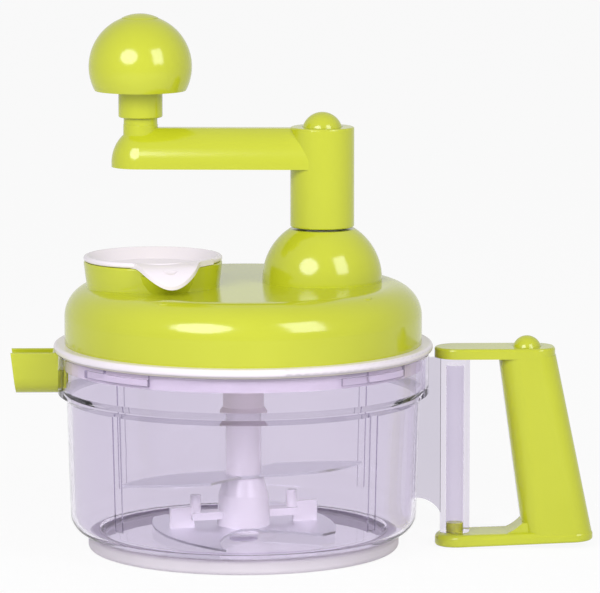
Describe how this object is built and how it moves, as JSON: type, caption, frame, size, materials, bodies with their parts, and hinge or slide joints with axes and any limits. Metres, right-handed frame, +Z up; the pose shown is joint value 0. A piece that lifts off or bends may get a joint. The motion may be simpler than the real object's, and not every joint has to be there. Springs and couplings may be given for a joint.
{
  "type": "crank food chopper",
  "caption": "Hand-cranked food chopper: clear bowl with side handle and pouring spout, geared lid with feed tube, cranked arm with ball knob, and a steel blade unit.",
  "frame": {"origin": "on the bowl's axis, in the plane of the base ring's underside, which stands on the table", "axes": "+Z up along the bowl's and blade unit's axis, +X from the bowl's axis towards the side handle, -X towards the pouring spout, -Y towards the front with the egg separator's tab"},
  "size_m": [0.2829, 0.1838, 0.2593],
  "materials": {
    "clear_bowl": "polished, clear",
    "green_gloss": "glossy",
    "white_gloss": "glossy",
    "white_matte": "satin",
    "grey_plastic": "satin",
    "pale_rubber": "matte",
    "seal_rubber": "matte",
    "steel": "polished"
  },
  "bodies": {
    "bowl": {"bowl": "clear_bowl", "base_ring": "pale_rubber", "floor_pivot_pin": "steel", "pour_spout": "green_gloss", "handle_grip": "green_gloss", "handle_button_spring": "steel"},
    "handle_button": {"handle_button": "green_gloss"},
    "handle_latch": {"handle_latch": "steel"},
    "seal": {"lid_seal": "seal_rubber"},
    "lid": {"lid_base": "white_gloss", "lid_cover": "green_gloss", "lid_screws": "steel", "shaft_bush_lower": "white_matte", "shaft_bush_upper": "white_matte"},
    "separator": {"egg_separator": "white_gloss"},
    "crank": {"drive_shaft": "steel", "drive_gear": "white_matte", "crank_arm": "green_gloss", "crank_button_spring": "steel", "knob_bolt": "steel"},
    "crank_button": {"crank_button": "green_gloss"},
    "crank_latch": {"crank_latch": "steel"},
    "knob": {"knob": "green_gloss", "knob_cap": "green_gloss"},
    "pinion": {"driven_pinion": "white_matte", "pinion_screw": "steel", "drive_socket": "grey_plastic"},
    "blades": {"blade_foot": "white_matte", "blade_lower": "steel", "blade_hub": "white_gloss", "blade_upper": "steel", "drive_column": "white_gloss"}
  },
  "joints": [
    {"name": "lid_lift", "type": "slide", "parent": "bowl", "child": "seal", "axis": [0, 0, 1], "range_m": [0, 0.12]},
    {"name": "lid_twist", "type": "hinge", "parent": "seal", "child": "lid", "pos_m": [0, 0, 0.0969], "axis": [0, 0, 1], "range_deg": [-10, 0]},
    {"name": "separator_lift", "type": "slide", "parent": "lid", "child": "separator", "axis": [0, 0, 1], "range_m": [0, 0.04]},
    {"name": "crank_turn", "type": "hinge", "parent": "lid", "child": "crank", "pos_m": [0.03846, 0.00644, 0.15], "axis": [0, 0, 1], "continuous": true},
    {"name": "pinion_spin", "type": "hinge", "parent": "lid", "child": "pinion", "pos_m": [0, 0, 0.104], "axis": [0, 0, 1], "continuous": true},
    {"name": "blade_spin", "type": "hinge", "parent": "bowl", "child": "blades", "pos_m": [0, 0, 0.0082], "axis": [0, 0, 1], "continuous": true},
    {"name": "knob_spin", "type": "hinge", "parent": "crank", "child": "knob", "pos_m": [-0.04941, 0.01104, 0.23], "axis": [0, 0, 1], "continuous": true},
    {"name": "crank_button_press", "type": "slide", "parent": "crank", "child": "crank_button", "axis": [0, 0, -1], "range_m": [0, 0.0024], "stiffness_N_per_m": 400, "springref_m": -0.004, "deforming": ["crank_button_spring"]},
    {"name": "crank_latch_slide", "type": "slide", "parent": "crank", "child": "crank_latch", "axis": [-0.9986, 0.0523, 0], "range_m": [0, 0.0024]},
    {"name": "handle_button_press", "type": "slide", "parent": "bowl", "child": "handle_button", "axis": [0, 0, -1], "range_m": [0, 0.0024], "stiffness_N_per_m": 400, "springref_m": -0.004, "deforming": ["handle_button_spring"]},
    {"name": "handle_latch_slide", "type": "slide", "parent": "bowl", "child": "handle_latch", "axis": [1, 0, 0], "range_m": [0, 0.0024]}
  ],
  "couplings": [
    {"joint": "pinion_spin", "follows": "crank_turn", "ratio": -3},
    {"joint": "blade_spin", "follows": "crank_turn", "ratio": -3},
    {"joint": "crank_latch_slide", "follows": "crank_button_press", "ratio": 1},
    {"joint": "handle_latch_slide", "follows": "handle_button_press", "ratio": 1}
  ]
}
